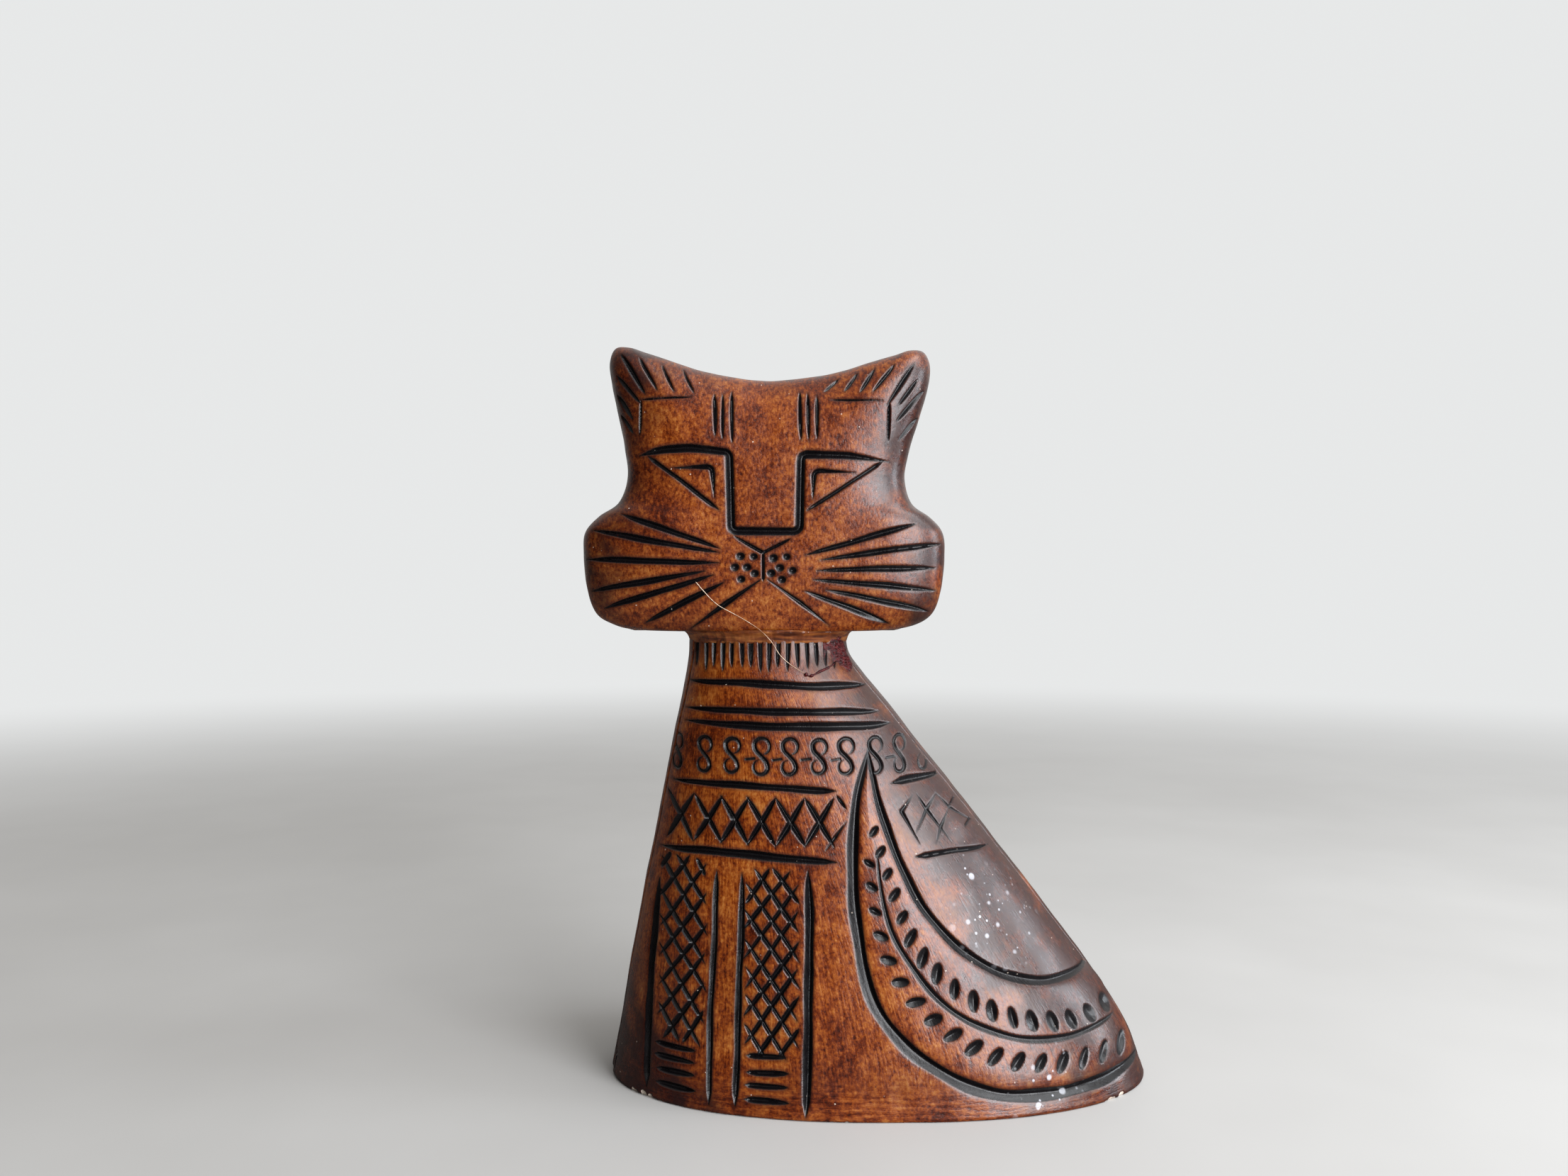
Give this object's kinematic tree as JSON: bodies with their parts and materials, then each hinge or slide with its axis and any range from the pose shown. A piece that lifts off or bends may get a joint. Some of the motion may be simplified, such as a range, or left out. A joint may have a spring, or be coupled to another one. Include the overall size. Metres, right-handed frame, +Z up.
{
  "type": "ceramic cat figure",
  "caption": "Free-standing stylised seated cat figure: hollow stained ceramic body with a wide pillow-shaped head, carved line decoration and a stoppered base.",
  "frame": {"origin": "on the ground, under the centre of the figure's overall box", "axes": "+Z up, -Y the way the face looks, +X towards the figure's own left, where the tail spreads"},
  "size_m": [0.2178, 0.1094, 0.2802],
  "materials": {
    "stained_clay": "semi-gloss brown wood-effect stain over incised lines",
    "seam_slip": "dark stained slip, brushed over",
    "neck_glue": "reddish-brown cured glue, uneven",
    "raw_clay": "unglazed pale fired clay",
    "stopper_rubber": "matt black rubber"
  },
  "bodies": {
    "figure": {"body_front_shell": "stained_clay", "body_rear_shell": "stained_clay", "body_seam": "seam_slip", "head_front_shell": "stained_clay", "head_rear_shell": "stained_clay", "head_seam": "seam_slip", "neck_glue": "neck_glue", "base_plate": "raw_clay", "base_slip_bead": "raw_clay"},
    "stopper": {"base_stopper": "stopper_rubber"}
  },
  "joints": [
    {"name": "stopper_pull", "type": "slide", "parent": "figure", "child": "stopper", "axis": [0, 0, -1], "range_m": [0, 0.014]}
  ]
}
